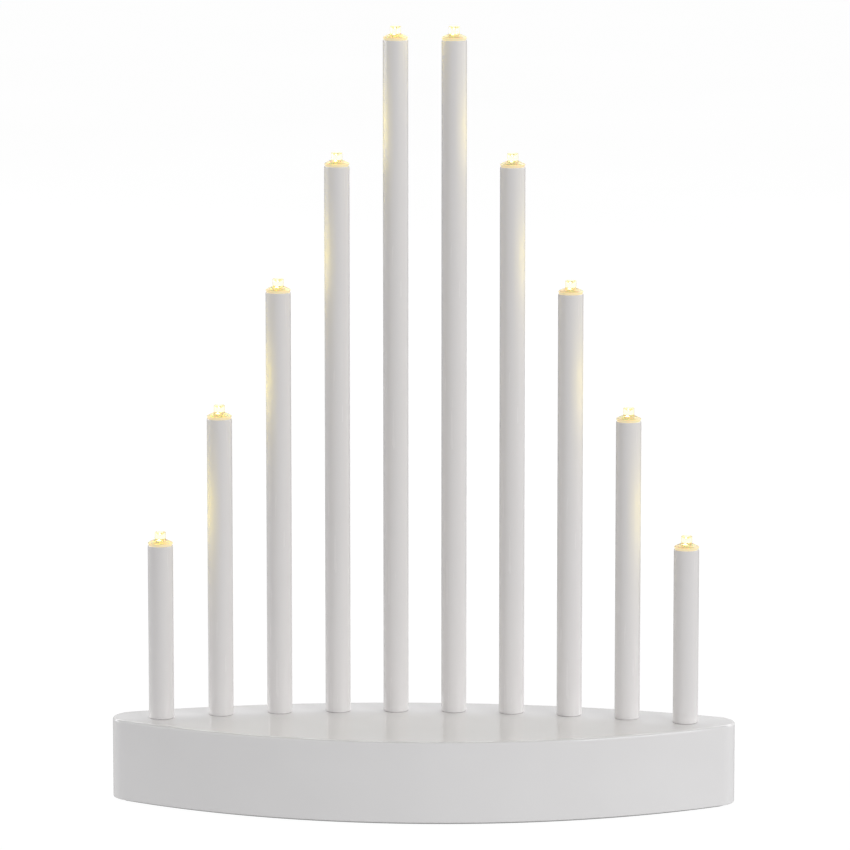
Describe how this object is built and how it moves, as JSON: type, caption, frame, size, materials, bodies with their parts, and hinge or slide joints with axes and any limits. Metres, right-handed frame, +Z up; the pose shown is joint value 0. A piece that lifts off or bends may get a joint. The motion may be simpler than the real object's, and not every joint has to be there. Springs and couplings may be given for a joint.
{
  "type": "led candlestick",
  "caption": "Free-standing battery candlestick: slim white candle tubes of stepped height with LED tips on a lens-shaped base.",
  "frame": {"origin": "on the table, under the middle of the housing's bounding box", "axes": "+Z up along the candles, +X to the right along the housing's length, -Y towards the front"},
  "size_m": [0.23, 0.0712, 0.2858],
  "materials": {
    "shell_white": "glossy moulded plastic",
    "tube_white": "glossy extruded plastic",
    "cover_white": "fine spark-eroded texture",
    "collar_lit": "translucent, lit from inside",
    "led_clear": "clear resin, lit",
    "cell_wrap": "plain printed sleeve",
    "contact_steel": "nickel-plated spring steel",
    "board_green": "solder mask",
    "chip_black": "moulded package",
    "switch_steel": "plain pressed steel",
    "knob_black": "satin",
    "lead_red": "soft insulation",
    "lead_black": "soft insulation",
    "harness_white": "soft insulation",
    "foot_soft": "soft, translucent grey",
    "screw_steel": "zinc plated"
  },
  "bodies": {
    "housing": {"base_shell": "shell_white", "bottom_cover": "cover_white", "battery_1": "cell_wrap", "battery_2": "cell_wrap", "contact_plate": "contact_steel", "contact_spring": "contact_steel", "contact_bridge": "contact_steel", "circuit_board": "board_green", "timer_chip": "chip_black", "slide_switch": "switch_steel", "battery_lead_positive": "lead_red", "battery_lead_negative": "lead_black", "led_harness": "harness_white", "foot_1": "foot_soft", "cover_screw_1": "screw_steel", "foot_2": "foot_soft", "cover_screw_2": "screw_steel", "foot_3": "foot_soft", "cover_screw_3": "screw_steel", "foot_4": "foot_soft", "cover_screw_4": "screw_steel", "candle_tube_01": "tube_white", "led_collar_01": "collar_lit", "led_01": "led_clear", "candle_tube_02": "tube_white", "led_collar_02": "collar_lit", "led_02": "led_clear", "candle_tube_03": "tube_white", "led_collar_03": "collar_lit", "led_03": "led_clear", "candle_tube_04": "tube_white", "led_collar_04": "collar_lit", "led_04": "led_clear", "candle_tube_05": "tube_white", "led_collar_05": "collar_lit", "led_05": "led_clear", "candle_tube_06": "tube_white", "led_collar_06": "collar_lit", "led_06": "led_clear", "candle_tube_07": "tube_white", "led_collar_07": "collar_lit", "led_07": "led_clear", "candle_tube_08": "tube_white", "led_collar_08": "collar_lit", "led_08": "led_clear", "candle_tube_09": "tube_white", "led_collar_09": "collar_lit", "led_09": "led_clear", "candle_tube_10": "tube_white", "led_collar_10": "collar_lit", "led_10": "led_clear"},
    "door": {"battery_door": "cover_white"},
    "knob": {"switch_knob": "knob_black"}
  },
  "joints": [
    {"name": "battery_door_hinge", "type": "hinge", "parent": "housing", "child": "door", "pos_m": [-0.02905, -0.0118, 0.0025], "axis": [0, 1, 0], "range_deg": [0, 90]},
    {"name": "switch_knob_slide", "type": "slide", "parent": "housing", "child": "knob", "axis": [1, 0, 0], "range_m": [0, 0.005]}
  ]
}
